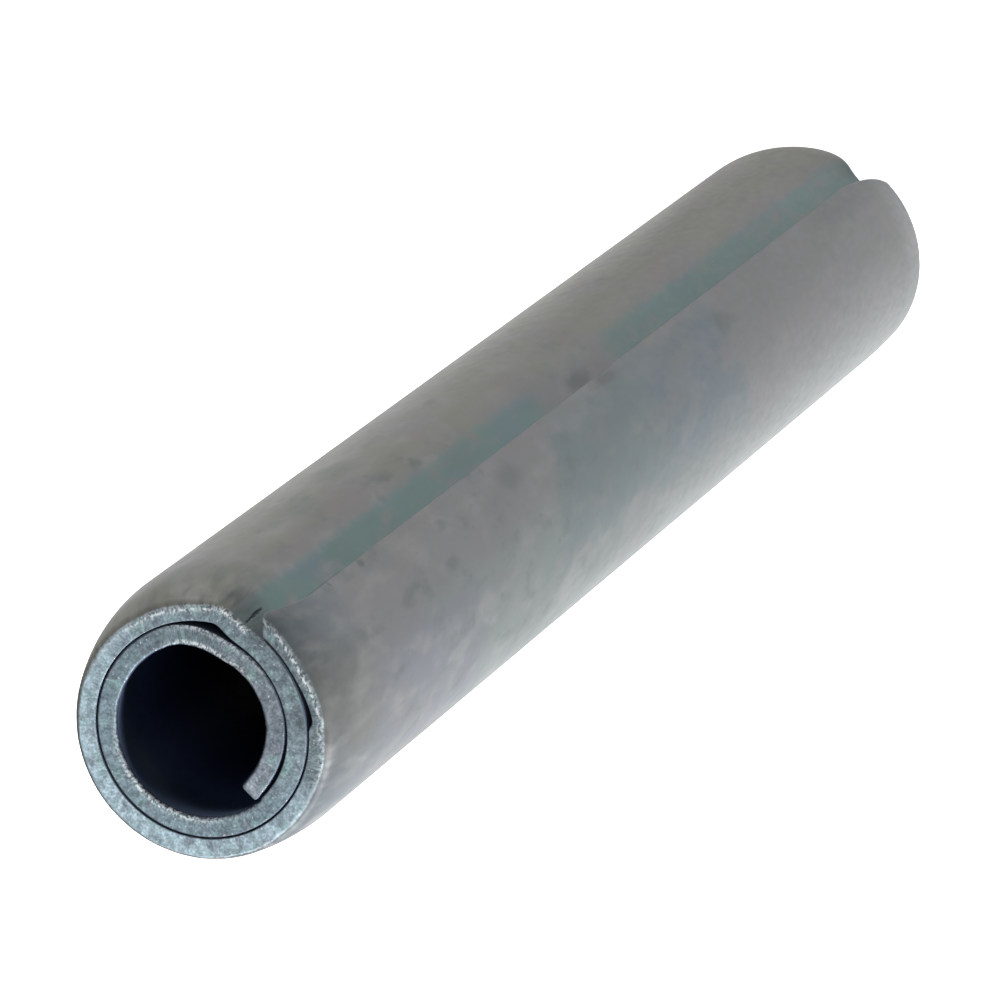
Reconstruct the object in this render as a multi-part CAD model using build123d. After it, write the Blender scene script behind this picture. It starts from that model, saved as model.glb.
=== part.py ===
from build123d import *
from math import acos, atan2, cos, degrees, radians, sin, sqrt, tan
import os

# A coiled spring pin: one strip of spring steel rolled into about two and a third turns, with both
# ends swaged to a rounded lead-in. The pin stands on its end: its axis is +Z, the middle of its
# lower end face is the origin, and its seam lies halfway between +X and +Y.
# Lengths are millimetres and angles are degrees. An angle round the coil is measured from +X,
# seen from above, and from that side the strip winds inwards clockwise.

# The pin, free of its hole
pin_length = 40.0
body_diameter = 5.4
strip_thickness = 0.40
lap_gap = 0.02  # between one lap and the next

# The swaged ends
swage_length = 1.8
swage_depth = 0.24  # how far the laps are drawn in at the end face
edge_break = 0.05
swage_sections = 5  # profiles that the rounded part of a swaged end is lofted through

# The free edge of the strip, cut at a bevel that leaves its outer side longer
free_edge_angle = 31.0
free_edge_bevel = 35.0
free_edge_radius = 0.06

# The joggle: the strip bends in, then back, and lands under its own free edge
joggle_radius = 0.74
joggle_return_radius = 1.44

# The tuck: under the joggle the strip bends in again, to the inner lap
tuck_tightness = 0.67  # the radius of the bend, as a share of its lap's
tuck_flattening = 2.95  # how much flatter than the inner lap the strip then runs
tuck_lead = 3.0  # how far before the joggle's landing the tuck lands

# The inner lap is rolled tighter than the lap round it, which it touches on one side only
inner_lap_slack = 0.15
inner_lap_contact = 34.0  # from the angle at which the spring-back begins

# The tail: the last of the strip is flatter
tail_delay = 19.0  # past the angle at which the spring-back begins
tail_flattening = 0.7
tail_sweep = 18.0
tail_edge_radius = 0.1

# The spring-back: towards the end faces the free edge rises a little, with the laps under it
spring_back = 0.28
spring_back_sweep = 62.0  # how far before the free edge it begins
spring_back_turn = 4.0  # how much further round the free edge then lies

lap_pitch = strip_thickness + lap_gap
turn = 360.0


def outward(angle):
    """The unit vector at an angle round the coil."""
    return Vector(cos(radians(angle)), sin(radians(angle)))


def heading(vector):
    """The angle round the coil at which a vector points."""
    return degrees(atan2(vector.Y, vector.X))


def bend_pair(lap, bend_radius, next_lap, return_radius, landing_angle):
    """Two tangent arcs that take the strip in from one lap to the next, and the angle they start at.

    A lap is a centre and a radius. The first arc leaves the first lap with the bend radius. The
    second has the return radius, which is negative if the strip then curves the other way, and
    meets the next lap at the landing angle. The three centres make a triangle.
    """
    lap_centre, lap_radius = lap
    next_centre, next_radius = next_lap
    return_centre = next_centre + outward(landing_angle) * (next_radius - return_radius)
    base = return_centre - lap_centre
    bend_reach = lap_radius - bend_radius
    return_reach = bend_radius - return_radius
    corner = degrees(acos(
        (bend_reach**2 + base.length**2 - return_reach**2) / (2 * bend_reach * base.length)))
    bend_direction = heading(base) + (corner if return_radius < 0 else -corner)
    bend_centre = lap_centre + outward(bend_direction) * bend_reach
    start_angle = landing_angle + (bend_direction - landing_angle) % turn
    joint_direction = heading((return_centre - bend_centre) * (1 / return_reach))
    joint_angle = start_angle - (start_angle - joint_direction) % turn
    arcs = [
        (bend_centre, bend_radius, start_angle, joint_angle),
        (return_centre, return_radius, joint_angle, landing_angle),
    ]
    return arcs, start_angle


def coil_path(drawn_in, share):
    """The middle of the strip's thickness as tangent arcs, from its free edge inwards.

    Each arc is a centre, a radius and the angles at which it starts and ends, which fall as the
    strip winds inwards. Every radius is drawn in by the same amount, so the laps keep their gaps.
    The share is how much of the spring-back there is.
    """
    outer_radius = (body_diameter - strip_thickness) / 2
    middle_radius = outer_radius - lap_pitch
    inner_radius = middle_radius - lap_pitch
    axis = Vector(0, 0)
    outer_lap = (axis, outer_radius - drawn_in)
    middle_lap = (axis, middle_radius - drawn_in)

    # Circles about the lifted centre touch the laps where the spring-back begins, and rise from there
    edge_angle = free_edge_angle + spring_back_turn * share
    lift_angle = free_edge_angle - spring_back_sweep
    lift = spring_back * share
    lifted = outward(lift_angle) * -lift
    outer_lift = (lifted, outer_radius + lift - drawn_in)
    middle_lift = (lifted, middle_radius + lift - drawn_in)
    inner_centre = lifted + outward(lift_angle + inner_lap_contact) * inner_lap_slack
    inner_lap = (inner_centre, inner_radius + lift - inner_lap_slack - drawn_in)

    joggle, joggle_start = bend_pair(
        outer_lap, joggle_radius - drawn_in,
        middle_lift, -joggle_return_radius - drawn_in, edge_angle - turn)
    tuck, tuck_start = bend_pair(
        middle_lap, middle_radius * tuck_tightness - drawn_in,
        inner_lap, inner_lap[1] + tuck_flattening, edge_angle + tuck_lead - 2 * turn)
    tail_start = lift_angle - tail_delay - 2 * turn
    tail_centre = inner_centre - outward(tail_start) * tail_flattening
    return [
        (*outer_lift, edge_angle, lift_angle),
        (*outer_lap, lift_angle, joggle_start),
        *joggle,
        (*middle_lift, edge_angle - turn, lift_angle - turn),
        (*middle_lap, lift_angle - turn, tuck_start),
        *tuck,
        (*inner_lap, edge_angle + tuck_lead - 2 * turn, tail_start),
        (tail_centre, inner_lap[1] + tail_flattening, tail_start, tail_start - tail_sweep),
    ]


def side(path, offset):
    """The arcs that run beside a path, outwards or inwards of it by an offset."""
    edges = []
    for centre, radius, start, end in path:
        points = [centre + outward(angle) * (radius + offset)
                  for angle in (start, (start + end) / 2, end)]
        edges.append(ThreePointArc(*points))
    return edges


def coil_section(height, drawn_in=0.0, share=0.0, inset=0.0):
    """The cross-section of the coil, as a face.

    The inset takes this much off both sides and both ends of the strip, for a broken edge.
    """
    path = coil_path(drawn_in, share)
    half = strip_thickness / 2 - inset
    centre, radius, start, end = path[0]
    trim = degrees(inset / radius)
    bevel = degrees(2 * half * tan(radians(free_edge_bevel)) / radius)
    outer_first = (centre, radius, start - trim, end)
    inner_first = (centre, radius, start - trim - bevel, end)
    centre, radius, start, end = path[-1]
    last = (centre, radius, start, end + degrees(inset / radius))

    outer_side = side([outer_first, *path[1:-1], last], half)
    inner_side = side([inner_first, *path[1:-1], last], -half)
    free_edge = Line(outer_side[0] @ 0, inner_side[0] @ 0)
    inner_end = Line(outer_side[-1] @ 1, inner_side[-1] @ 1)
    face = make_face([*outer_side, inner_end, *inner_side, free_edge])
    for cut, radius in ((free_edge, free_edge_radius), (inner_end, tail_edge_radius)):
        corners = [face.vertices().sort_by_distance(cut @ place)[0] for place in (0, 1)]
        face = fillet(corners, radius - inset)
    return Pos(0, 0, height) * face


def swaged_section(rise, inset=0.0):
    """The section at a rise above the upper shoulder, where an arc draws the laps in."""
    swage_radius = (swage_length**2 + swage_depth**2) / (2 * swage_depth)
    drawn_in = swage_radius - sqrt(swage_radius**2 - rise**2)
    height = pin_length - swage_length + rise
    return coil_section(height, drawn_in, drawn_in / swage_depth, inset)


def swaged_end():
    """The upper end of the pin, from the shoulder to the broken edges of its face."""
    rim_rise = swage_length - edge_break
    rises = [rim_rise * index / (swage_sections - 1) for index in range(swage_sections)]
    rounded = loft([swaged_section(rise) for rise in rises])
    rim = loft([swaged_section(rim_rise), swaged_section(swage_length, edge_break)], ruled=True)
    return rounded + rim


def build_coiled_pin():
    body = extrude(coil_section(swage_length), pin_length - 2 * swage_length)
    upper_end = swaged_end()
    lower_end = mirror(upper_end, about=Plane.XY.offset(pin_length / 2))
    return body + upper_end + lower_end


os.makedirs("parts", exist_ok=True)
export_step(build_coiled_pin(), "parts/coiled_pin.step")
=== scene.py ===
import bpy
import numpy as np
from mathutils import Matrix, Vector


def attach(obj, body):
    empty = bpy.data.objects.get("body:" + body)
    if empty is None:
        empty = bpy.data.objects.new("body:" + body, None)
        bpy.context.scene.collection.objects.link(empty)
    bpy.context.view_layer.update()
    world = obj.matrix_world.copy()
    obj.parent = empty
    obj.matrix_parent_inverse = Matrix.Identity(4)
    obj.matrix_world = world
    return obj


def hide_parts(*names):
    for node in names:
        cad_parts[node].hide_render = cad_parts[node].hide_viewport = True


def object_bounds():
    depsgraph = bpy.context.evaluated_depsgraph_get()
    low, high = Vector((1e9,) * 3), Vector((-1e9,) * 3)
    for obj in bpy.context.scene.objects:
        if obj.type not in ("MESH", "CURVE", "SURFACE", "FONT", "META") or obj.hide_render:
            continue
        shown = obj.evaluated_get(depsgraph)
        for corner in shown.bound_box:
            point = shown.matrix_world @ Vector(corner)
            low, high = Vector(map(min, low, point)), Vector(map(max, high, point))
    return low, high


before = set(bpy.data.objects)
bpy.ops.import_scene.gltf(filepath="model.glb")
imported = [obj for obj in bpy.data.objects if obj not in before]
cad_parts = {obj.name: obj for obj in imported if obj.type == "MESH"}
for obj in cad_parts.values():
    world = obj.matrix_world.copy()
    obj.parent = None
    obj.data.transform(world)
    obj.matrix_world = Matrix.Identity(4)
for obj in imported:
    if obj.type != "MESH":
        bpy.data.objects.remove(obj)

cadLow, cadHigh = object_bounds()
print("frame loaded, CAD box", tuple(cadLow), tuple(cadHigh))

millimetre = 0.001
turn = 360.0


# Millimetres and degrees, as in the solid. Its length and free diameter come from the frame.
coil = {
    "length": (cadHigh.z - cadLow.z) / millimetre,
    "diameter": round(2 * cadHigh.y / millimetre, 2),
    "thickness": 0.40,
    "gap": 0.02,  # between one lap and the next
    "swageLength": 1.8,
    "swageDepth": 0.24,  # how far the laps are drawn in at the end face
    "upperShift": (-0.026, -0.086),  # the swaging dies sat a little off the axis at both ends
    "lowerShift": (0.066, -0.188),
    "upperEdgeTurn": 3.0,  # how far the seam turns round the coil towards each end face
    "lowerEdgeTurn": -2.6,
    "lowerCut": 6.3,  # degrees that the free edge's lower corner is cut back by
    "lowerCutHeight": 2.27,
    "lowerCutPower": 0.63,  # under 1, the cut grows fast at first and slower towards the end face
    "edgeAngle": 31.0,
    "edgeBevel": 35.0,
    "joggleRadius": 0.74,  # the strip bends in under its own free edge, and back
    "joggleReturn": 1.44,
    "tuckTightness": 0.67,  # the radius of the bend to the inner lap, as a share of its lap's
    "tuckFlattening": 2.95,  # how much flatter than the inner lap the strip then runs
    "tuckLead": 3.0,  # how far before the joggle's landing the tuck lands
    "innerSlack": 0.15,  # how much tighter the inner lap is rolled
    "innerContact": 34.0,  # where it touches the next lap
    "tailDelay": 19.0,
    "tailFlattening": 0.7,
    "tailSweep": 18.0,
    "upperSpring": 0.28,  # how far the free edge rises at each end
    "lowerSpring": 0.116,
    "springSweep": 62.0,  # how far before the free edge it begins to rise
    "edgeRadius": 0.06,  # the long edges of the free edge, and of the strip's inner end
    "tailRadius": 0.10,
}

# The rims of the end faces, where the swaging die and wear have broken the edges.
rims = {
    "lower": 0.11,
    "upper": 0.06,
    "upperWide": [  # middle angle and spread of its wider parts, and how much wider
        (84.0, 46.0, 0.10),
        (-52.0, 30.0, 0.08),
    ],
    "flap": 0.22,  # the outer lap near its free edge
    "flapSpan": (-48.0, -4.0),  # angles over which the flap's rim grows
    "flapTip": (12.0, 33.0, 0.09),  # angles over which it shrinks again, and by how much
    "inside": 0.03,  # between the laps
    "bore": 0.085,
    "boreFrom": -428.0,  # the angle from which the strip's inner side faces the bore
    "least": 0.002,  # no rim is sharper
    "dents": 0.014,
    "dentPace": 5.0,  # dents in a millimetre, times 2 pi
    "flapPinch": 0.10,  # how much thinner the flap is pinched from its inner side
    "pinchSpan": (-21.0, -17.0),
    "pinchFade": (-20.0, 8.0),
    "pinchLoss": 0.93,  # how much of the pinch is lost there
    "glint": 0.05,  # half width of the worn line along a rim
    "cover": (17.35, 17.9),  # where along the strip the next lap begins to hide it
    "plainWearAndGlint": 0.16,  # of the rims that nothing hides: how much of them carries worn flecks, wear and painted glints
    "dulled": (38.9, 39.75),  # heights over which the swaged wall turns dull
    "outerFlat": (0.955, 0.999),  # how flat a point lies where a cut face begins, and where it is full
    "wornLoss": (0.12, 0.03),  # and how much less flat it may lie on a worn rim, where the flecks are wear and painted glints
    "innerFlat": (0.72, 0.97),  # the same two on a strip's inner side, and for the dull band of a rim
    "dullFlat": (0.08, 0.35),
    "boreUpright": (0.35, 0.9),  # how upright it stands on the bore's wall, its rim and in the gaps
    "boreRim": (0.25, 0.6),
    "gapUpright": (0.05, 0.5),
    "whole": (0.97, 1.0),  # past these a rim has given way to the flat or the upright
    "outerLeast": 0.05,  # how far a point must face outwards to be on the outer side
    "wornGlint": [  # where the rims carry worn flecks, wear and painted glints: first and last arc, outer side, middle angle, spread, strength
        (1, 3, True, 75.0, 50.0, 0.85),
        (0, 1, True, 0.0, 40.0, 0.85),
        (2, 3, True, 36.0, 25.0, 1.0),
        (5, 9, False, 213.0, 48.0, 1.0),
        (6, 8, False, 50.0, 40.0, 0.8),
        (6, 8, True, 48.0, 36.0, 0.6),
    ],
}

# How finely the surface is cut. Each arc along the strip has its own number of columns.
fineness = {
    "columns": (36, 150, 16, 18, 28, 104, 14, 20, 70, 8),
    "bodyRows": 40,
    "swageRows": 12,
    "rimSteps": 6,
    "faceRows": 10,
    "cornerSteps": 4,
}


def outward(angle):
    # unit vector at an angle round the coil: (cos a, sin a)
    angle = np.radians(angle)
    return np.stack([np.cos(angle), np.sin(angle)], -1)


def heading(vector):
    # the angle round the coil at which a vector points: atan2(y, x)
    return np.degrees(np.arctan2(vector[..., 1], vector[..., 0]))


def bendPair(lap, bendRadius, nextLap, returnRadius, landing):
    # Two tangent arcs from one lap to the next. The centres of the lap, the bend and the return
    # make a triangle whose sides are differences of their radii; the cosine rule gives its corner.
    lapCentre, lapRadius = lap
    nextCentre, nextRadius = nextLap
    returnCentre = nextCentre + outward(landing) * (nextRadius - returnRadius)[..., None]
    base = returnCentre - lapCentre
    baseLength = np.hypot(base[..., 0], base[..., 1])
    bendReach = lapRadius - bendRadius
    returnReach = bendRadius - returnRadius
    corner = np.degrees(np.arccos(
        (bendReach**2 + baseLength**2 - returnReach**2) / (2 * bendReach * baseLength)))
    direction = heading(base) + np.where(returnRadius < 0, corner, -corner)
    bendCentre = lapCentre + outward(direction) * bendReach[..., None]
    start = landing + (direction - landing) % turn
    jointDirection = heading((returnCentre - bendCentre) / returnReach[..., None])
    joint = start - (start - jointDirection) % turn
    arcs = [(bendCentre, bendRadius, start, joint), (returnCentre, returnRadius, joint, landing)]
    return arcs, start


def coilArcs(drawnIn, height):
    # The middle line of the strip at each height as ten tangent arcs, from the free edge inwards.
    # Every radius is drawn in by the same amount, so the laps keep their gaps.
    share = drawnIn / coil["swageDepth"]
    upper = height > coil["length"] / 2
    edgeTurn = np.where(upper, coil["upperEdgeTurn"], coil["lowerEdgeTurn"])
    nearEnd = np.clip(1 - height / coil["lowerCutHeight"], 0, 1)
    cutBack = coil["lowerCut"] * nearEnd**coil["lowerCutPower"]
    zero = np.zeros_like(drawnIn)
    axis = np.stack([zero, zero], -1)
    pitch = coil["thickness"] + coil["gap"]
    outerRadius = (coil["diameter"] - coil["thickness"]) / 2
    middleRadius = outerRadius - pitch
    innerRadius = middleRadius - pitch
    outerLap = (axis, outerRadius - drawnIn)
    middleLap = (axis, middleRadius - drawnIn)
    edge = coil["edgeAngle"] + edgeTurn * share
    liftAngle = coil["edgeAngle"] - coil["springSweep"] + zero
    lift = np.where(upper, coil["upperSpring"], coil["lowerSpring"]) * share
    lifted = -outward(liftAngle) * lift[..., None]
    outerLift = (lifted, outerRadius + lift - drawnIn)
    middleLift = (lifted, middleRadius + lift - drawnIn)
    innerCentre = lifted + outward(liftAngle + coil["innerContact"]) * coil["innerSlack"]
    innerLap = (innerCentre, innerRadius + lift - coil["innerSlack"] - drawnIn)
    joggle, joggleStart = bendPair(
        outerLap, coil["joggleRadius"] - drawnIn,
        middleLift, -coil["joggleReturn"] - drawnIn, edge - turn)
    tuck, tuckStart = bendPair(
        middleLap, middleRadius * coil["tuckTightness"] - drawnIn,
        innerLap, innerLap[1] + coil["tuckFlattening"], edge + coil["tuckLead"] - 2 * turn)
    tailStart = liftAngle - coil["tailDelay"] - 2 * turn
    tailCentre = innerCentre - outward(tailStart) * coil["tailFlattening"]
    arcs = [
        (*outerLift, edge - cutBack, liftAngle),
        (*outerLap, liftAngle, joggleStart),
        *joggle,
        (*middleLift, edge - turn, liftAngle - turn),
        (*middleLap, liftAngle - turn, tuckStart),
        *tuck,
        (*innerLap, edge + coil["tuckLead"] - 2 * turn, tailStart),
        (tailCentre, innerLap[1] + coil["tailFlattening"], tailStart, tailStart - coil["tailSweep"]),
    ]
    centres = np.stack([arc[0] for arc in arcs], -2)
    radii, starts, ends = (np.stack([arc[k] for arc in arcs], -1) for k in (1, 2, 3))
    return centres, radii, starts, ends


def stripLoop():
    # Once round the strip's cross-section, a rounded rectangle: up its outer side, over the upper
    # end face, down its inner side and under the lower one. A point is the centre of its corner
    # plus the rim radius times (cos b, sin b). The side runs from 1, outer, to -1, inner, and the
    # corner's height is a level plus a lean times the rim radius.
    swage = np.linspace(0, 1, fineness["swageRows"], endpoint=False)
    body = np.linspace(coil["swageLength"], coil["length"] - coil["swageLength"], fineness["bodyRows"])
    level = np.concatenate([
        coil["swageLength"] * swage, body, coil["length"] - coil["swageLength"] * swage[::-1]])
    lean = np.concatenate([1 - swage, 0 * body, swage[::-1] - 1])
    quarter = np.linspace(0, np.pi / 2, fineness["rimSteps"] + 1)[1:-1]
    across = np.linspace(1, -1, fineness["faceRows"])
    rise = np.ones_like(level)
    corner = np.ones_like(quarter)
    face = np.ones_like(across)
    pieces = [
        (rise, level, lean, 0 * rise),
        (corner, coil["length"] * corner, -corner, quarter),
        (across, coil["length"] * face, -face, np.pi / 2 * face),
        (-corner, coil["length"] * corner, -corner, quarter + np.pi / 2),
        (-rise, level[::-1], lean[::-1], np.pi * rise),
        (-corner, 0 * corner, corner, quarter + np.pi),
        (-across, 0 * face, face, 1.5 * np.pi * face),
        (corner, 0 * corner, corner, quarter + 1.5 * np.pi),
    ]
    loop = [np.concatenate([piece[k] for piece in pieces]) for k in range(4)]
    # begin in the middle of the lower face, so that the first half mirrors the second
    begin = len(loop[0]) - len(quarter) - fineness["faceRows"] // 2
    return [np.roll(values, -begin) for values in loop]


def stripColumns():
    # Where the columns stand along the strip: the arc, the share of it passed, how far the loop
    # has shrunk there, and how far it has run on. The cut ends are rounded by quarter circles.
    arc = np.concatenate([np.full(n, k) for k, n in enumerate(fineness["columns"])])
    share = np.concatenate([np.linspace(0, 1, n, endpoint=False) for n in fineness["columns"]])
    quarter = np.linspace(np.pi / 2, 0, fineness["cornerSteps"], endpoint=False)
    shrink = 1 - np.cos(quarter)
    runOn = np.sin(quarter) - 1
    last = len(fineness["columns"]) - 1
    arc = np.concatenate([np.zeros(len(quarter)), arc, [last], np.full(len(quarter), last)]).astype(int)
    share = np.concatenate([np.zeros(len(quarter)), share, [1], np.ones(len(quarter))])
    plain = np.zeros(sum(fineness["columns"]) + 1)
    shrink = np.concatenate([shrink, plain, shrink[::-1]])
    runOn = np.concatenate([runOn, plain - 1, runOn[::-1]])
    # both are shares of the corner's radius, and the run-on shortens the first and the last arc
    radius = np.where(arc < last, coil["edgeRadius"], coil["tailRadius"])
    return arc, share, shrink * radius, runOn * radius


def swageDraw(height):
    # An arc of a circle draws the laps in: radius - sqrt(radius^2 - rise^2) above each shoulder.
    swageRadius = (coil["swageLength"]**2 + coil["swageDepth"]**2) / (2 * coil["swageDepth"])
    rise = np.maximum(height - (coil["length"] - coil["swageLength"]), coil["swageLength"] - height)
    rise = np.clip(rise, 0, coil["swageLength"])
    return swageRadius - np.sqrt(swageRadius**2 - rise**2)


def smooth(low, high, values):
    # 0 below low, 1 above high, and 3t^2 - 2t^3 between
    t = np.clip((values - low) / (high - low), 0, 1)
    return t * t * (3 - 2 * t)


def wander(values, pace):
    # a sum of sines whose paces don't divide each other: a gentle wander between about -1 and 1
    paces = np.array([1.0, 2.31, 4.17, 7.43]) * pace
    sizes = np.array([0.42, 0.30, 0.18, 0.10])
    return (sizes * np.sin(values[..., None] * paces + paces * 1.7)).sum(-1)


def swingFrom(middle, angle):
    # the angle from a middle one, between -180 and 180
    return (angle - middle + turn / 2) % turn - turn / 2


def rimRadii(arc, angle, along):
    # The radius of each column's rims: the outer one at the upper and at the lower end, and the
    # inner one. The upper is wider where the die wore it, in bell curves round the coil, and on
    # the flap. All are dented.
    upper = rims["upper"]
    for middle, spread, extra in rims["upperWide"]:
        upper = upper + extra * np.exp(-(swingFrom(middle, angle) / spread)**2)
    tipLow, tipHigh, tipLoss = rims["flapTip"]
    flapRadius = rims["flap"] - tipLoss * smooth(tipLow, tipHigh, angle)
    flap = smooth(*rims["flapSpan"], angle) * (arc < 2)
    upper = upper + flap * (flapRadius - upper)
    dents = rims["dents"] * wander(along, rims["dentPace"])
    outer = [np.where(arc < 4, radius + dents, rims["inside"]) for radius in (upper, rims["lower"])]
    return *outer, np.where(angle < rims["boreFrom"], rims["bore"] + dents, rims["inside"])


def coilSurface():
    # The surface of the strip, point(column, row): the column picks an arc of the middle line and
    # an angle on it, the row picks an offset across the strip and a height.
    side, level, lean, bearing = stripLoop()
    arc, share, shrink, runOn = stripColumns()
    half = coil["thickness"] / 2

    # the columns' angles and places at mid-height, for rims and patterns
    middle = [values[0] for values in coilArcs(np.zeros(1), np.array([coil["length"] / 2]))]
    middleAngle = middle[2][arc] + (middle[3][arc] - middle[2][arc]) * share
    track = middle[0][arc] + outward(middleAngle) * (middle[1][arc] + half)[:, None]
    steps = np.linalg.norm(np.diff(track, axis=0), axis=1)
    along = np.concatenate([[0], np.cumsum(steps)]) + runOn * (arc == 0) - runOn * (arc == arc[-1])

    upperRim, lowerRim, innerRim = rimRadii(arc, middleAngle, along)
    outerRim = np.where(level > coil["length"] / 2, upperRim[:, None], lowerRim[:, None])
    blend = (1 + side) / 2
    rim = innerRim[:, None] * (1 - blend) + outerRim * blend
    rimLeft = np.maximum(rim - shrink[:, None], rims["least"])
    corner = shrink[:, None] + rimLeft  # from the strip's own sides to the centre of the corner
    widest = np.where(side > 0, half, -half) - np.sign(side) * corner
    shrunk = shrink + rims["least"]
    outerEdge = half - np.maximum(outerRim, shrunk[:, None])
    innerEdge = np.maximum(innerRim, shrunk)[:, None] - half
    centreOffset = np.where(np.abs(side) == 1, widest, innerEdge + (outerEdge - innerEdge) * blend)
    offset = centreOffset + rimLeft * np.cos(bearing)
    height = level + lean * corner + rimLeft * np.sin(bearing)

    drawnIn = swageDraw(height)
    shape = height.shape
    centres, radii, starts, ends = coilArcs(drawnIn.ravel(), height.ravel())
    rows = np.arange(height.size)
    pick = np.broadcast_to(arc[:, None], shape).ravel()
    centre = centres[rows, pick].reshape(*shape, 2)
    arcRadius = radii[rows, pick].reshape(shape)
    start = starts[rows, pick].reshape(shape)
    end = ends[rows, pick].reshape(shape)
    bevel = np.tan(np.radians(coil["edgeBevel"])) * (half - offset)
    start = start - np.degrees(np.where((arc == 0)[:, None], bevel - runOn[:, None], 0) / arcRadius)
    end = end - np.degrees(np.where((arc == arc[-1])[:, None], runOn[:, None], 0) / arcRadius)
    angle = start + (end - start) * share[:, None]

    # the flap is pinched from its inner side, more and more towards the upper end face, and less
    # towards its free edge
    swaged = drawnIn / coil["swageDepth"]
    pinchLeft = 1 - rims["pinchLoss"] * smooth(*rims["pinchFade"], angle)
    pinch = smooth(*rims["pinchSpan"], angle) * pinchLeft
    pinch = pinch * (arc < 2)[:, None] * (height > coil["length"] / 2)
    offset = offset + rims["flapPinch"] * pinch * swaged**2 * (half - offset) / (2 * half)

    flat = centre + outward(angle) * (arcRadius + offset)[..., None]
    shift = np.where((height > coil["length"] / 2)[..., None], coil["upperShift"], coil["lowerShift"])
    points = np.concatenate([flat + shift * swaged[..., None], height[..., None]], -1)

    # how far each point is, round the profile, from the outer and the inner border of the flat
    # face, with a millimetre more on the walls
    upright = np.abs(np.cos(bearing))
    faceShare = np.abs(np.sin(bearing))
    tilt = np.arccos(faceShare)
    onWall = np.where(upright == 1, 1.0, 0.0)
    fromOuter = np.where(side == 1, rimLeft * tilt + onWall, outerEdge - centreOffset)
    fromInner = np.where(side == -1, rimLeft * tilt + onWall, centreOffset - innerEdge)
    outerSide = np.cos(bearing) > rims["outerLeast"]
    uncovered = 1 - smooth(*rims["cover"], along)[:, None]
    hidden = 1 - outerSide * uncovered
    inBore = (middleAngle < rims["boreFrom"])[:, None] * ~outerSide
    wornGlint = [rims["plainWearAndGlint"] * (1 - hidden), rims["plainWearAndGlint"] * (1 - hidden)]
    for firstArc, lastArc, outside, middle, spread, strength in rims["wornGlint"]:
        near = np.exp(-(swingFrom(middle, angle) / spread)**2) * strength
        near = near * ((arc >= firstArc) & (arc <= lastArc))[:, None]
        wornGlint[outside] = np.maximum(wornGlint[outside], near)

    # what the steel needs to know: how much of a point is end face, worn rim with its painted
    # glints or any rim, whether it lies in the bore or between the laps, and its place on the strip
    # and in the pin. Each is a smooth step of how flat or how upright the point lies; a worn rim is cut
    # face further round.
    (flatLow, flatHigh), (lowLoss, highLoss) = rims["outerFlat"], rims["wornLoss"]
    outerFace = smooth(flatLow - lowLoss * wornGlint[1], flatHigh - highLoss * wornGlint[1], faceShare)
    innerFace = smooth(*rims["innerFlat"], faceShare)
    innerWornGlint, outerWornGlint = (
        share * np.exp(-(away / rims["glint"])**2) for share, away in zip(wornGlint, (fromInner, fromOuter)))
    dull = np.maximum(smooth(*rims["dullFlat"], faceShare), smooth(*rims["dulled"], height))
    masks = {
        "endFace": np.where(outerSide * (arc < 4)[:, None], outerFace, innerFace),
        "rim": outerWornGlint + innerWornGlint,
        "boreWall": smooth(*rims["boreUpright"], upright) * inBore,
        "boreRim": smooth(*rims["boreRim"], upright) * (1 - smooth(*rims["whole"], upright)) * inBore,
        "gapWall": smooth(*rims["gapUpright"], upright) * hidden * ~inBore,
        "rimBand": dull * (1 - smooth(*rims["whole"], faceShare)),
    }
    stripPlace = np.stack([np.broadcast_to(along[:, None], shape), height, offset], -1)
    vectors = {"stripPlace": stripPlace, "facePlace": points}
    return points, masks, vectors


def gridFaces(columns, rows):
    # Quads of a grid that is closed along its rows, facing outwards. The first and the last column
    # are each filled by a ladder, whose rungs join row k to the row that mirrors it, between two
    # long faces that take in the rows of the end faces.
    index = np.arange(columns * rows).reshape(columns, rows)
    after = np.roll(index, -1, axis=1)
    quads = np.stack([index[:-1], after[:-1], after[1:], index[1:]], -1).reshape(-1, 4)
    halfFace = fineness["faceRows"] // 2
    rung = np.arange(halfFace, rows // 2 - halfFace)
    mirror = rows - 1 - rung
    ladder = np.stack([rung[:-1], mirror[:-1], mirror[1:], rung[1:]], -1)
    low = np.concatenate([np.arange(halfFace + 1), np.arange(rows - halfFace - 1, rows)])
    high = np.arange(rows // 2 - halfFace - 1, rows // 2 + halfFace + 1)
    faces = np.concatenate([quads, index[0][ladder], index[-1][ladder[:, ::-1]]]).tolist()
    return faces + [index[0][low[::-1]].tolist(), index[0][high[::-1]].tolist(),
                    index[-1][low].tolist(), index[-1][high].tolist()]


def buildCoiledPin():
    # one mesh from the strip's surface and the grid's quads, with a number on every point for each
    # mask and a vector for each place
    points, masks, vectors = coilSurface()
    columns, rows = points.shape[:2]
    mesh = bpy.data.meshes.new("coiledPinSteel")
    mesh.from_pydata((points.reshape(-1, 3) * millimetre).tolist(), [], gridFaces(columns, rows))
    mesh.polygons.foreach_set("use_smooth", np.ones(len(mesh.polygons), bool))
    for name, values in masks.items():
        layer = mesh.attributes.new(name, "FLOAT", "POINT")
        layer.data.foreach_set("value", values.ravel().astype(np.float32))
    for name, values in vectors.items():
        layer = mesh.attributes.new(name, "FLOAT_VECTOR", "POINT")
        layer.data.foreach_set("vector", values.ravel().astype(np.float32))
    mesh.update()
    changed = mesh.validate()
    print("coiled pin:", columns, "by", rows, "points,", len(mesh.polygons), "faces, mended", changed)
    pin = bpy.data.objects.new("coiledPinSteel", mesh)
    bpy.context.scene.collection.objects.link(pin)
    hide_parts("coiled_pin")
    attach(pin, "root")
    return pin


pin = buildCoiledPin()
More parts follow.
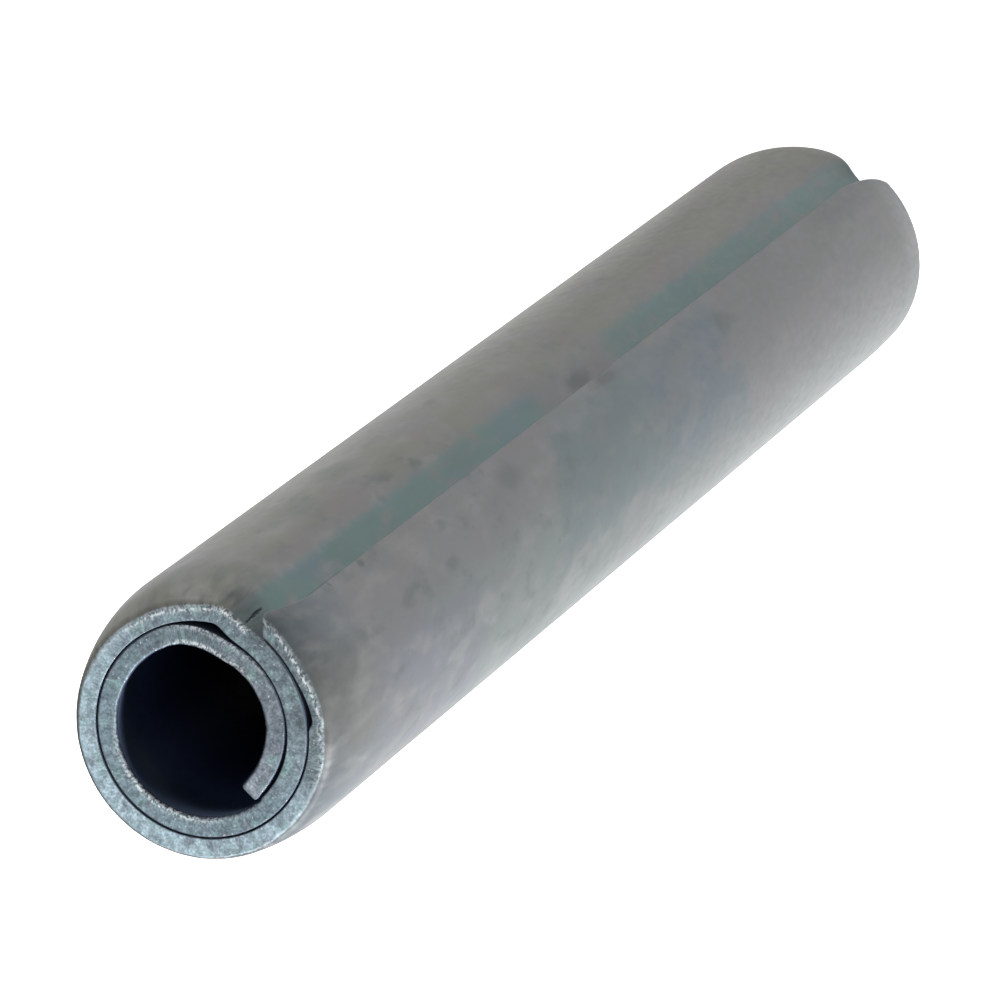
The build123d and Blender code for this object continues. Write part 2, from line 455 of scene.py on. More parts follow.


# The finish. Reflectances are those of the metal itself, save for the painted light, shade and
# glints marked below. A place on the strip is (how far along it from its free edge, height, offset
# across it) in millimetres. A band is where it begins and ends, and how far its borders soften to
# each side. A pattern of patches is its scale, the noise under which there is none and over which
# it is full, its detail, and its strength.
steel = {
    "metallic": 0.92,
    "wornMetallic": 0.45,
    "wall": (0.124, 0.127, 0.125, 1),
    "oliveWall": (0.137, 0.136, 0.113, 1),
    "oliveBand": (11.5, 16.1, 0.35),  # the side of the pin before the seam
    "seam": (0.084, 0.133, 0.125, 1),
    "seamBlue": (0.086, 0.124, 0.140, 1),
    "seamBand": (16.26, 17.6, 0.11),
    "seamGap": (18.4, 23.2, 0.7),  # heights between which the seam's colour is missing
    "seamFades": (38.4, 39.7),  # and over which it fades, to a share of itself
    "seamLeft": 0.45,
    "seamPatches": (2.2, 0.22, 0.50, 4.0, 1.0),
    "seamBluePatches": (0.9, 0.48, 0.66, 3.0, 0.8),
    "line": (0.020, 0.024, 0.030, 1),  # painted shadow: the dark line under the free edge, and in the nick at its tip
    "lineBand": (16.86, 17.2, 0.03),
    "lineRises": (35.6, 35.9),  # heights over which it sets in, and fades to a share of itself
    "lineFades": (37.8, 38.8),
    "lineLeft": 0.2,
    "lineStrength": 0.9,
    "linePatches": (3.5, 0.30, 0.45, 3.0, 1.0),
    "shadedNick": ((16.74, 39.92), (16.58, 39.22)),  # from and to, each along the strip and in height
    "nickWidths": (0.0112, 0.0392),  # it is full within the first, and gone beyond the second
    "nickSoftness": 0.05,  # of its two ends
    "stains": [  # first and last place along the strip, heights, slant, colour, strength
        ((11.0, 13.95), (35.3, 40.6), 0.0, (0.23, 0.225, 0.20, 1), 0.85),
        ((0.1, 2.9), (19.0, 24.74), 1.19, (0.091, 0.116, 0.122, 1), 0.95),
        ((0.1, 2.9), (13.9, 19.6), 0.0, (0.093, 0.114, 0.129, 1), 0.95),
        ((1.4, 3.3), (26.5, 34.5), 0.0, (0.112, 0.134, 0.126, 1), 0.75),
        ((3.1, 5.2), (0.5, 13.5), 0.0, (0.118, 0.134, 0.128, 1), 0.7),
        ((2.7, 5.3), (14.0, 33.0), 0.0, (0.109, 0.125, 0.122, 1), 0.8),
        ((1.6, 4.2), (31.6, 38.2), 0.0, (0.112, 0.118, 0.136, 1), 0.8),
    ],
    "stainPatches": (1.3, 0.25, 0.50, 4.0, 1.0),
    "stainSoftness": (0.3, 0.35, 0.4),  # of the sides, the foot and the top
    "shoulder": (0.094, 0.107, 0.118, 1),  # the swaged stretch under the upper face
    "shoulderWarm": (0.108, 0.110, 0.105, 1),
    "warmBand": (1.0, 3.2, 0.5),  # where along the strip it is the warmer one
    "shoulderHeights": (36.9, 38.4),  # it sets in over these
    "shoulderStrength": 0.85,
    "shoulderFades": (5.0, 8.0),  # it gives way over these places along the strip
    "shoulderLeft": 0.25,  # and this share of it is left past them
    "paintedRimShade": (0.054, 0.057, 0.063, 1),  # painted shade: darker still against the upper face, past the flap, which also dulls the rim's highlight
    "rimShadeHeights": (38.6, 39.9),
    "rimShadeBand": (2.6, 7.0, 1.2),
    "rimShadeStrength": 0.85,
    # dark smudges along the seam, partly painted shade: those on the free edge and the broad one near
    # its foot are the seam gap's shade
    "smudgeAndShade": (0.072, 0.084, 0.080, 1),
    "smudgesAndShades": [  # centre, half size and strength of each
        ((16.74, 20.8, 0.2), (0.26, 0.85, 1), 0.9),
        ((0.06, 20.7, 0.2), (0.16, 0.75, 1), 0.9),
        ((0.64, 13.8, 0.2), (0.30, 0.65, 1), 0.65),
        ((0.45, 27.9, 0.2), (0.35, 0.75, 1), 0.55),
        ((16.05, 29.8, 0.2), (0.12, 0.35, 1), 0.7),
        ((15.95, 31.4, 0.2), (0.14, 0.45, 1), 0.6),
        ((1.1, 32.5, 0.2), (0.18, 0.45, 1), 0.65),
        ((1.15, 35.2, 0.2), (0.18, 0.45, 1), 0.55),
        ((0.1, 3.0, 0.2), (0.55, 4.0, 1), 0.4),
        ((0.0, 35.8, 0.2), (0.10, 0.16, 1), 0.95),
        ((0.0, 37.5, 0.2), (0.06, 0.12, 1), 0.9),
        ((15.3, 34.5, 0.2), (0.40, 0.7, 1), 0.5),
        ((15.0, 31.5, 0.2), (0.45, 0.9, 1), 0.5),
    ],
    "rolledShare": 0.42,  # the mottling is that much finer round the pin than along it
    "tintShake": (1.1, 0.9),  # the noise's scale and reach that make a border ragged
    "seamShake": (3.0, 0.30),
    "smudgeShake": (2.5, 0.3),
    "nickShake": (3.2, 0.22),
    "weathered": (12.0, 32.0),  # heights over which the mottling grows from a share of itself
    "weatherLeast": 0.35,
    "brighter": [  # painted light and shade along the pin: a band along the strip, and how much brighter it is painted at the top than the foot
        ((-1.0, 5.5, 1.5), 0.20),
        ((12.5, 14.9, 1.5), -0.15),
        ((16.3, 18.5, 1.5), 0.22),
    ],
    "bloom": (0.168, 0.167, 0.164, 1),  # light mottling
    "bloomPatches": (1.7, 0.46, 0.70, 6.0, 0.7),
    "speck": (0.080, 0.093, 0.090, 1),  # dark mottling
    "speckPatches": (2.6, 0.52, 0.76, 6.0, 0.85),
    "plum": (0.134, 0.124, 0.128, 1),
    "plumPatches": (0.9, 0.45, 0.65, 4.0, 0.7),
    "broadTone": (1.0, 3.0, 0.36),  # noise scale, detail, and how far it changes the brightness
    "fineTone": (6.0, 5.0, 0.50),
    "faces": [  # from how far along the strip, and the cut face's colour from there on
        (0.0, (0.31, 0.39, 0.40, 1)),
        (3.4, (0.48, 0.60, 0.66, 1)),
        (17.0, (0.50, 0.62, 0.67, 1)),
        (19.9, (0.26, 0.34, 0.38, 1)),
        (31.0, (0.39, 0.43, 0.48, 1)),
    ],
    "faceShade": (0.15, 0.18, 0.20, 1),
    "faceTeal": (0.29, 0.42, 0.41, 1),
    "faceTealPatches": (2.2, 0.52, 0.64, 3.0, 0.6),
    "facePlum": (0.22, 0.23, 0.28, 1),
    "facePlumPatches": (3.1, 0.54, 0.66, 4.0, 0.6),
    "faceLight": (-0.90, -0.43, 0),  # the side towards which the face is painted brightest: painted light there, painted shade away from it
    "shadeSpan": (-3.2, 2.1),  # millimetres towards that side over which the shade gives way
    "shadeBlotches": (1.3, 4.0, 7.0),  # noise scale, detail, and millimetres that it moves the shade
    "lapBorder": 1.2,  # half the length over which one lap's colour turns to the next one's
    "faceGrain": [  # noise scale, detail and range, and the brightness at each end of it
        (6.5, 4.0, 0.34, 0.66, 0.76, 1.24),
        (19.0, 3.0, 0.25, 0.75, 0.70, 1.30),
    ],
    # the worn flecks, bright as wear and as painted glints
    "wornGlint": (0.78, 0.80, 0.80, 1),
    "fleckPatches": (15.0, 0.43, 0.57, 3.0, 1.0),  # on the rims
    "strayPatches": (15.0, 0.62, 0.72, 2.0, 0.6),  # on the faces
    "bore": (0.25, 0.35, 0.58, 1),
    # painted shade in the bore: darker deeper down, and at its mouth and rim
    "boreDepthShade": (0.065, 0.075, 0.11, 1),
    "deepSpan": (33.6, 38.2),  # heights between which the painted shade of the deep bore gives way
    "boreMouthShade": (0.024, 0.031, 0.048, 1),
    "boreMouth": (37.9, 39.9),  # the bore is painted darker over these heights, as shade at its mouth
    "mouthStrength": 0.8,
    "gap": (0.095, 0.118, 0.155, 1),  # the walls between the laps
    "wallRoughness": 0.43,
    "rimRoughness": 0.72,
    "faceRoughness": 0.50,
    "wornRoughness": 0.32,
    "roughnessGrain": 0.2,
    "grainNoise": (11.0, 4.0),  # scale and detail
    "chipNoise": (4.5, 5.0),
    "grainDepth": 0.0007,  # millimetres
    "chipDepth": 0.012,
    "nickDepth": 0.02,
}


def feed(tree, socket, value):
    # a value from another node is linked, and any other is set
    if isinstance(value, bpy.types.NodeSocket):
        tree.links.new(value, socket)
    else:
        socket.default_value = value


def mathOf(tree, operation, *values, clamp=False):
    # the operation on the values, kept between 0 and 1 if clamped
    node = tree.nodes.new("ShaderNodeMath")
    node.operation = operation
    node.use_clamp = clamp
    for socket, value in zip(node.inputs, values):
        feed(tree, socket, value)
    return node.outputs["Value"]


def vectorOf(tree, operation, *values):
    # the operation on the vectors, whose result is a value for a length or a dot product
    node = tree.nodes.new("ShaderNodeVectorMath")
    node.operation = operation
    for socket, value in zip(node.inputs, values):
        feed(tree, socket, value)
    return node.outputs["Value" if operation in ("LENGTH", "DOT_PRODUCT") else "Vector"]


def rangeOf(tree, value, low, high, toLow=0.0, toHigh=1.0):
    # smooth steps from toLow to toHigh as the value goes from low to high
    node = tree.nodes.new("ShaderNodeMapRange")
    node.interpolation_type = "SMOOTHSTEP"
    names = ("Value", "From Min", "From Max", "To Min", "To Max")
    for name, part in zip(names, (value, low, high, toLow, toHigh)):
        feed(tree, node.inputs[name], part)
    return node.outputs["Result"]


def mixOf(tree, factor, first, second, blend="MIX"):
    # (1 - factor) first + factor second, or the factor's share of another blend of the two
    node = tree.nodes.new("ShaderNodeMix")
    node.data_type = "RGBA"
    node.blend_type = blend
    feed(tree, node.inputs["Factor"], factor)
    colourSockets = [socket for socket in node.inputs if socket.type == "RGBA"]
    feed(tree, colourSockets[0], first)
    feed(tree, colourSockets[1], second)
    return [socket for socket in node.outputs if socket.type == "RGBA"][0]


def noiseOf(tree, place, scale, detail=2.0, output="Fac"):
    # layers of smooth noise about 1/2, each twice as fine and half as strong as the last
    node = tree.nodes.new("ShaderNodeTexNoise")
    feed(tree, node.inputs["Vector"], place)
    feed(tree, node.inputs["Scale"], scale)
    feed(tree, node.inputs["Detail"], detail)
    return node.outputs[output]


def newGroup(name, takes, gives):
    # a node group with named sockets, and its two ends
    group = bpy.data.node_groups.new(name, "ShaderNodeTree")
    for socketName, kind in takes:
        group.interface.new_socket(name=socketName, in_out="INPUT", socket_type=kind)
    for socketName, kind in gives:
        group.interface.new_socket(name=socketName, in_out="OUTPUT", socket_type=kind)
    return group, group.nodes.new("NodeGroupInput").outputs, group.nodes.new("NodeGroupOutput").inputs


def placeGroup(tree, group, output, **values):
    # a group placed in the tree with these values, and what it puts out
    node = tree.nodes.new("ShaderNodeGroup")
    node.node_tree = group
    for name, value in values.items():
        feed(tree, node.inputs[name], value)
    return node.outputs[output]


def bandGroup():
    # 1 between From and To, with borders that soften over Softness on each side
    group, take, give = newGroup(
        "band", [(name, "NodeSocketFloat") for name in ("Value", "From", "To", "Softness")],
        [("Mask", "NodeSocketFloat")])
    up = rangeOf(group, take["Value"], mathOf(group, "SUBTRACT", take["From"], take["Softness"]),
                 mathOf(group, "ADD", take["From"], take["Softness"]))
    down = rangeOf(group, take["Value"], mathOf(group, "SUBTRACT", take["To"], take["Softness"]),
                   mathOf(group, "ADD", take["To"], take["Softness"]), 1.0, 0.0)
    feed(group, give["Mask"], mathOf(group, "MULTIPLY", up, down))
    return group


def smudgeGroup():
    # a soft oval: falls from 1 to 0 as |(Place - Centre) / Size| goes from 0.3 to 1.2
    group, take, give = newGroup(
        "smudgeAndShade", [(name, "NodeSocketVector") for name in ("Place", "Centre", "Size")],
        [("Mask", "NodeSocketFloat")])
    away = vectorOf(group, "SUBTRACT", take["Place"], take["Centre"])
    away = vectorOf(group, "LENGTH", vectorOf(group, "DIVIDE", away, take["Size"]))
    feed(group, give["Mask"], rangeOf(group, away, 0.3, 1.2, 1.0, 0.0))
    return group


def mottleGroup():
    # patches of noise: 0 where it is under Low, 1 where it is over High
    group, take, give = newGroup(
        "mottle", [("Place", "NodeSocketVector")] + [
            (name, "NodeSocketFloat") for name in ("Scale", "Detail", "Low", "High")],
        [("Mask", "NodeSocketFloat")])
    noise = noiseOf(group, take["Place"], take["Scale"], take["Detail"])
    feed(group, give["Mask"], rangeOf(group, noise, take["Low"], take["High"]))
    return group


def springSteel():
    # Each colour is laid over the last by its mask, (1 - mask) under + mask over: the wall and its
    # stains, mottling and seam, painted shade against the upper face, smudges that are partly painted
    # shade, the dark lines of painted shadow, the cut faces with painted light and shade, the gaps and
    # the bore with its painted shade, and the worn flecks on the rims, painted glints as well as wear.
    # The wall's tone also carries painted light and shade along the pin's length.
    material = bpy.data.materials.new("springSteel")
    material.use_nodes = True
    tree = material.node_tree
    shader = tree.nodes["Principled BSDF"]
    band, smudgeAndShade, mottle = bandGroup(), smudgeGroup(), mottleGroup()

    def attribute(name, output="Fac"):
        # what the mesh says at each point under that name
        node = tree.nodes.new("ShaderNodeAttribute")
        node.attribute_name = name
        return node.outputs[output]

    def times(*values):
        # the product of all the values
        product = values[0]
        for value in values[1:]:
            product = mathOf(tree, "MULTIPLY", product, value)
        return product

    def allBut(mask):
        # 1 - mask
        return mathOf(tree, "SUBTRACT", 1.0, mask)

    def patches(pattern, where):
        # patches of noise times their strength
        scale, low, high, detail, strength = pattern
        return times(placeGroup(tree, mottle, "Mask", Place=where, Scale=scale, Detail=detail,
                                Low=low, High=high), strength)

    def strip(value, first, last, softness):
        # 1 where the value lies in the band
        return placeGroup(tree, band, "Mask", Value=value, From=first, To=last, Softness=softness)

    def split(vector):
        # the first two parts of a place: along the strip, and height
        node = tree.nodes.new("ShaderNodeSeparateXYZ")
        feed(tree, node.inputs[0], vector)
        return node.outputs["X"], node.outputs["Y"]

    def shaken(scale, amount):
        # place + amount (noise - 1/2), for ragged borders
        noise = vectorOf(tree, "SUBTRACT", noiseOf(tree, place, scale, 4.0, "Color"), (0.5, 0.5, 0.5))
        return vectorOf(tree, "ADD", place, vectorOf(tree, "MULTIPLY", noise, (amount, amount, amount)))

    place = attribute("stripPlace", "Vector")
    endFace, rim = attribute("endFace"), attribute("rim")
    boreWall, boreRim, gapWall = attribute("boreWall"), attribute("boreRim"), attribute("gapWall")
    strictAlong, strictHeight = split(place)
    rolled = vectorOf(tree, "MULTIPLY", place, (1.0, steel["rolledShare"], 1.0))
    along, height = split(shaken(*steel["tintShake"]))
    seamAlong = split(shaken(*steel["seamShake"]))[0]
    nickAcross = split(shaken(*steel["nickShake"]))[0]
    smudgePlace = shaken(*steel["smudgeShake"])

    # the outer wall: broad tints, then stains, then the swaged stretch under the upper face, and
    # painted shade against that face
    colour = mixOf(tree, strip(along, *steel["oliveBand"]), steel["wall"], steel["oliveWall"])
    colour = mixOf(tree, patches(steel["plumPatches"], rolled), colour, steel["plum"])
    sideSoft, footSoft, topSoft = steel["stainSoftness"]
    for span, (foot, top), slant, tint, strength in steel["stains"]:
        leaned = mathOf(tree, "SUBTRACT", height, mathOf(tree, "MULTIPLY", along, slant))
        mask = times(strip(along, *span, sideSoft),
                     rangeOf(tree, height, foot - footSoft, foot + footSoft),
                     rangeOf(tree, leaned, top - topSoft, top + topSoft, 1.0, 0.0),
                     patches(steel["stainPatches"], rolled))
        colour = mixOf(tree, times(mask, strength), colour, tint)
    shoulder = times(rangeOf(tree, height, *steel["shoulderHeights"], 0.0, steel["shoulderStrength"]),
                     rangeOf(tree, along, *steel["shoulderFades"], 1.0, steel["shoulderLeft"]))
    warm = strip(along, *steel["warmBand"])
    shoulderColour = mixOf(tree, warm, steel["shoulder"], steel["shoulderWarm"])
    colour = mixOf(tree, shoulder, colour, shoulderColour)
    # painted shade against the upper face, dulling the rim's highlight
    paintedRimShade = rangeOf(tree, strictHeight, *steel["rimShadeHeights"])
    paintedRimShade = times(paintedRimShade, strip(along, *steel["rimShadeBand"]), steel["rimShadeStrength"])
    colour = mixOf(tree, paintedRimShade, colour, steel["paintedRimShade"])

    # light and dark mottling, and the tone that the wall's colour is multiplied by
    weather = rangeOf(tree, height, *steel["weathered"], steel["weatherLeast"], 1.0)
    colour = mixOf(tree, times(patches(steel["bloomPatches"], rolled), weather), colour, steel["bloom"])
    colour = mixOf(tree, times(patches(steel["speckPatches"], rolled), weather), colour, steel["speck"])
    (*broadNoise, broadSize), (*fineNoise, fineSize) = steel["broadTone"], steel["fineTone"]
    broad = mathOf(tree, "SUBTRACT", noiseOf(tree, rolled, *broadNoise), 0.5)
    fine = mathOf(tree, "SUBTRACT", noiseOf(tree, rolled, *fineNoise), 0.5)
    tone = mathOf(tree, "ADD", times(broad, broadSize), times(fine, fineSize))
    tone = mathOf(tree, "ADD", 1.0, times(tone, weather))
    # painted light and shade: in these bands the tone rises or falls from the foot to the top
    for stretch, gain in steel["brighter"]:
        rise = rangeOf(tree, strictHeight, 0.0, coil["length"], -gain / 2, gain / 2)
        tone = mathOf(tree, "ADD", tone, times(strip(strictAlong, *stretch), rise))

    # the seam's colour, and the smudges along it, partly painted shade
    unbroken = allBut(strip(height, *steel["seamGap"]))
    fading = rangeOf(tree, height, *steel["seamFades"], 1.0, steel["seamLeft"])
    seam = times(strip(seamAlong, *steel["seamBand"]), unbroken, fading,
                 patches(steel["seamPatches"], rolled))
    blue = patches(steel["seamBluePatches"], rolled)
    colour = mixOf(tree, seam, colour, mixOf(tree, blue, steel["seam"], steel["seamBlue"]))
    for centre, size, strength in steel["smudgesAndShades"]:
        mask = placeGroup(tree, smudgeAndShade, "Mask", Place=smudgePlace, Centre=centre, Size=size)
        colour = mixOf(tree, times(mask, strength), colour, steel["smudgeAndShade"])

    # painted shadow: the dark line under the free edge, and the nick, a shallow dent darkened as
    # painted shade; the nick by how |along - its own line| compares with its widths
    line = times(strip(strictAlong, *steel["lineBand"]), patches(steel["linePatches"], place),
                 rangeOf(tree, strictHeight, *steel["lineRises"]),
                 rangeOf(tree, strictHeight, *steel["lineFades"], 1.0, steel["lineLeft"]))
    (nickAlong, nickTop), (footAlong, foot) = steel["shadedNick"]
    slope = (nickAlong - footAlong) / (nickTop - foot)
    leaned = mathOf(tree, "MULTIPLY", strictHeight, slope)
    nickLine = mathOf(tree, "ADD", nickAlong - nickTop * slope, leaned)
    nickOff = mathOf(tree, "ABSOLUTE", mathOf(tree, "SUBTRACT", nickAcross, nickLine))
    shadedNick = rangeOf(tree, nickOff, *steel["nickWidths"], 1.0, 0.0)
    soft = steel["nickSoftness"]
    shadedNick = times(shadedNick, strip(strictHeight, foot + soft, nickTop, soft), allBut(endFace))
    dark = times(mathOf(tree, "MAXIMUM", line, shadedNick), steel["lineStrength"])
    colour = mixOf(tree, dark, colour, steel["line"])

    # the cut faces: blue-grey, each lap its own, with teal and plum patches, painted lighter on one
    # side and painted shade on the other
    shade = vectorOf(tree, "DOT_PRODUCT", attribute("facePlace", "Vector"), steel["faceLight"])
    blotchScale, blotchDetail, blotchReach = steel["shadeBlotches"]
    blotch = mathOf(tree, "SUBTRACT", noiseOf(tree, place, blotchScale, blotchDetail), 0.5)
    shade = mathOf(tree, "ADD", shade, mathOf(tree, "MULTIPLY", blotch, blotchReach))
    faceColour, border = steel["faces"][0][1], steel["lapBorder"]
    for start, lapColour in steel["faces"][1:]:
        nextLap = rangeOf(tree, strictAlong, start - border, start + border)
        faceColour = mixOf(tree, nextLap, faceColour, lapColour)
    # painted light and shade: the faces turn to the shade colour away from their lit side
    faceColour = mixOf(tree, rangeOf(tree, shade, *steel["shadeSpan"]), steel["faceShade"], faceColour)
    faceColour = mixOf(tree, patches(steel["faceTealPatches"], place), faceColour, steel["faceTeal"])
    faceColour = mixOf(tree, patches(steel["facePlumPatches"], place), faceColour, steel["facePlum"])
    colour = mixOf(tree, endFace, colour, faceColour)
    faceTone = times(*(rangeOf(tree, noiseOf(tree, place, scale, detail), *span)
                       for scale, detail, *span in steel["faceGrain"]))
    tone = mathOf(tree, "ADD", times(tone, allBut(endFace)), times(faceTone, endFace))
    toneColour = tree.nodes.new("ShaderNodeCombineColor")
    for socket in toneColour.inputs:
        feed(tree, socket, tone)
    colour = mixOf(tree, 1.0, colour, toneColour.outputs[0], "MULTIPLY")

    # the gaps between the laps, and the bore, painted darker deeper down and at its mouth and rim as
    # shade
    colour = mixOf(tree, gapWall, colour, steel["gap"])
    shallow = rangeOf(tree, strictHeight, *steel["deepSpan"])
    boreColour = mixOf(tree, shallow, steel["boreDepthShade"], steel["bore"])
    colour = mixOf(tree, boreWall, colour, boreColour)
    # painted shade at the bore's mouth and on its rim, dulling their highlight
    mouth = rangeOf(tree, strictHeight, *steel["boreMouth"], 0.0, steel["mouthStrength"])
    mouth = times(boreWall, mouth)
    colour = mixOf(tree, mathOf(tree, "MAXIMUM", mouth, boreRim), colour, steel["boreMouthShade"])

    # worn flecks on the rims, and stray ones on the faces: wear, and painted glints
    flecks = mathOf(tree, "MULTIPLY", rim, patches(steel["fleckPatches"], place), clamp=True)
    flecks = mathOf(tree, "MAXIMUM", flecks, times(endFace, patches(steel["strayPatches"], place)))
    colour = mixOf(tree, flecks, colour, steel["wornGlint"])
    feed(tree, shader.inputs["Base Color"], colour)
    metallic = rangeOf(tree, flecks, 0.0, 1.0, steel["metallic"], steel["wornMetallic"])
    feed(tree, shader.inputs["Metallic"], metallic)

    # the roughness of the wall, then of the face, the rims and the flecks over it
    roughness = rangeOf(tree, endFace, 0.0, 1.0, steel["wallRoughness"], steel["faceRoughness"])
    roughness = mathOf(tree, "ADD", roughness, mathOf(tree, "MULTIPLY", fine, steel["roughnessGrain"]))
    over = ((attribute("rimBand"), steel["rimRoughness"]), (flecks, steel["wornRoughness"]))
    for mask, value in over:
        roughness = mathOf(tree, "ADD", times(roughness, allBut(mask)), times(mask, value))
    feed(tree, shader.inputs["Roughness"], roughness)

    # grain all over, deeper chips on the cut faces and rims, and the nick
    grain = times(noiseOf(tree, place, *steel["grainNoise"]), steel["grainDepth"])
    chips = times(noiseOf(tree, place, *steel["chipNoise"]), mathOf(tree, "MAXIMUM", endFace, rim),
                  steel["chipDepth"])
    relief = mathOf(tree, "ADD", grain, chips)
    relief = mathOf(tree, "SUBTRACT", relief, times(shadedNick, steel["nickDepth"]))
    bump = tree.nodes.new("ShaderNodeBump")
    bump.inputs["Strength"].default_value = 1.0
    bump.inputs["Distance"].default_value = millimetre
    feed(tree, bump.inputs["Height"], relief)
    feed(tree, shader.inputs["Normal"], bump.outputs["Normal"])
    return material


pin.data.materials.append(springSteel())
print("steel made")


# The picture is 1000 by 1000. The camera looks down on the upper end of the pin.
view = {
    "sensor": 36.0,
    "pixelsAcross": 1000,
    "focalPixels": 8535.0,
    "tiltFromAxis": 23.29,  # between the line of sight and the pin's axis
    "axisDirection": 38.03,  # how the axis runs across the picture, upwards from the right
    "sectionTurn": 22.0,  # how far the pin's +X lies round from that of the picture
    "distance": 156.0,  # millimetres to the upper end face
    "faceCentre": (201.0, 725.7),
    "clip": (0.01, 5.0),  # metres
}


def buildCamera():
    # Picture axes are right, down and forward. m lies in the end face along the pin's run across
    # the picture, n is square to it, and both are turned to the pin's own X and Y.
    tilt, run = np.radians(view["tiltFromAxis"]), np.radians(view["axisDirection"])
    away = np.array([np.sin(tilt) * np.cos(run), -np.sin(tilt) * np.sin(run), np.cos(tilt)])
    m = np.array([np.cos(tilt) * np.cos(run), -np.cos(tilt) * np.sin(run), -np.sin(tilt)])
    n = -np.cross(away, m)
    turned = np.radians(view["sectionTurn"]) - run
    pinX = np.cos(turned) * m + np.sin(turned) * n
    pinY = -np.sin(turned) * m + np.cos(turned) * n
    toPin = np.stack([pinX, pinY, -away])  # picture axes to the pin's own
    centre = np.array(view["faceCentre"]) - view["pixelsAcross"] / 2
    reach = np.array([*(centre / view["focalPixels"]), 1.0]) * view["distance"] * millimetre
    place = np.array([0, 0, cadHigh.z]) - toPin @ reach
    right, down, forward = toPin.T
    matrix = Matrix(np.stack([right, -down, -forward], 1).tolist()).to_4x4()
    matrix.translation = Vector(place)
    data = bpy.data.cameras.new("pictureCamera")
    data.sensor_width = view["sensor"]
    data.lens = view["focalPixels"] / view["pixelsAcross"] * view["sensor"]
    data.clip_start, data.clip_end = view["clip"]
    camera = bpy.data.objects.new("pictureCamera", data)
    camera.matrix_world = matrix
    bpy.context.scene.collection.objects.link(camera)
    bpy.context.scene.camera = camera
    return right, -down, -forward


pictureRight, pictureUp, pictureBack = buildCamera()
print("camera made")


studio = {
    "floorSide": 3.0,
    "floorColour": (0.86, 0.86, 0.86, 1),
    "floorRoughness": 0.8,
    "floorGlow": 1.0,  # seen by the camera only, so that the floor stays plain under the shadows
    "sky": (0.93, 0.96, 1.0, 1),
    "skyStrength": 0.36,
    "poolGlow": 0.8,  # a lit patch of floor behind the pin, mirrored low on its sides
    "poolPlace": (-0.0045, -0.0025),  # towards the camera's side, and to the left of that
    "poolRadius": 0.007,
    "middle": 0.02,  # the height that the lamps point at
    "boxDistance": 0.5,
}

# Each soft box: how far round the pin it stands from the camera's side and how high above it, in
# degrees, its size in metres, its power in watts and its colour.
softBoxes = {
    "rightBox": (-82.0, 8.0, 0.20, 6.2, (0.97, 0.99, 1.0)),
    "lowRightBox": (-110.0, 8.0, 0.20, 5.3, (0.97, 0.99, 1.0)),
    "leftBox": (71.0, 8.0, 0.20, 2.1, (1.0, 0.99, 0.96)),
    "faceBox": (180.0, 66.7, 0.20, 0.20, (0.94, 0.98, 1.0)),
    "upperGlint": (53.0, 18.0, 0.12, 0.12, (1.0, 1.0, 1.0)),
    "rightGlint": (-12.0, 25.0, 0.12, 0.12, (1.0, 1.0, 1.0)),
}


def levelSides():
    # the level directions to the camera's side of the pin, and to the left of that
    nearSide = np.array([*pictureBack[:2], 0]) / np.hypot(*pictureBack[:2])
    return nearSide, np.cross((0, 0, 1), nearSide)


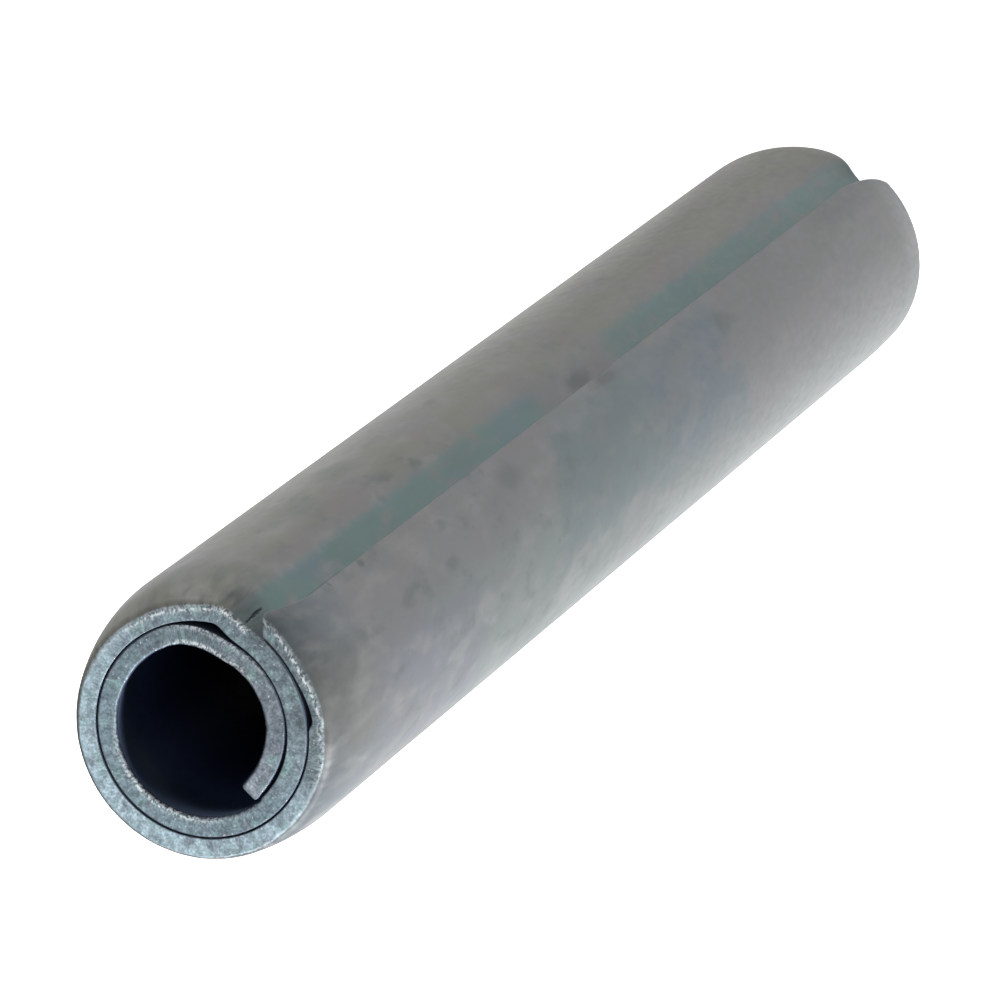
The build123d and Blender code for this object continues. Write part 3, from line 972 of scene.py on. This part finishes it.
def buildFloor():
    # A square of pale paper. It glows for the camera only. For all else a patch of it is lit, which
    # falls from its middle as 1 - smooth step of the distance over twice its radius.
    side = studio["floorSide"] / 2
    corners = [(-side, -side, 0), (side, -side, 0), (side, side, 0), (-side, side, 0)]
    mesh = bpy.data.meshes.new("floor")
    mesh.from_pydata(corners, [], [(0, 1, 2, 3)])
    floor = bpy.data.objects.new("floor", mesh)
    bpy.context.scene.collection.objects.link(floor)
    material = bpy.data.materials.new("palePaper")
    material.use_nodes = True
    tree = material.node_tree
    shader = tree.nodes["Principled BSDF"]
    shader.inputs["Base Color"].default_value = studio["floorColour"]
    shader.inputs["Roughness"].default_value = studio["floorRoughness"]
    shader.inputs["Emission Color"].default_value = (1, 1, 1, 1)
    seen = tree.nodes.new("ShaderNodeLightPath").outputs["Is Camera Ray"]
    nearSide, leftSide = levelSides()
    middle = studio["poolPlace"][0] * nearSide + studio["poolPlace"][1] * leftSide
    place = tree.nodes.new("ShaderNodeTexCoord").outputs["Object"]
    away = vectorOf(tree, "LENGTH", vectorOf(tree, "SUBTRACT", place, tuple(middle)))
    pool = rangeOf(tree, away, 0.0, 2 * studio["poolRadius"], studio["poolGlow"], 0.0)
    unseen = mathOf(tree, "MULTIPLY", mathOf(tree, "SUBTRACT", 1.0, seen), pool)
    glow = mathOf(tree, "ADD", mathOf(tree, "MULTIPLY", seen, studio["floorGlow"]), unseen)
    feed(tree, shader.inputs["Emission Strength"], glow)
    mesh.materials.append(material)


def buildSky():
    # the same colour and strength from every side
    world = bpy.data.worlds.new("studioSky")
    world.use_nodes = True
    background = world.node_tree.nodes["Background"]
    background.inputs["Color"].default_value = studio["sky"]
    background.inputs["Strength"].default_value = studio["skyStrength"]
    bpy.context.scene.world = world


def buildSoftBox(name, swing, lift, size, power, colour):
    # The box stands in the direction cos(lift) (cos(swing) a + sin(swing) b) + sin(lift) z, where a
    # points level to the camera's side and b to its left.
    data = bpy.data.lights.new(name, "AREA")
    data.shape = "DISK"
    data.size = size
    data.energy = power
    data.color = colour
    lamp = bpy.data.objects.new(name, data)
    swing, lift = np.radians(swing), np.radians(lift)
    nearSide, leftSide = levelSides()
    level = np.cos(swing) * nearSide + np.sin(swing) * leftSide
    towards = Vector(np.cos(lift) * level + np.sin(lift) * np.array([0, 0, 1]))
    lamp.location = Vector((0, 0, studio["middle"])) + towards * studio["boxDistance"]
    lamp.rotation_mode = "QUATERNION"
    lamp.rotation_quaternion = towards.to_track_quat("Z", "Y")
    lamp.visible_camera = False
    bpy.context.scene.collection.objects.link(lamp)


buildFloor()
buildSky()
for boxName, box in softBoxes.items():
    buildSoftBox(boxName, *box)
bpy.context.scene.view_settings.view_transform = "Standard"
print("floor and light made")
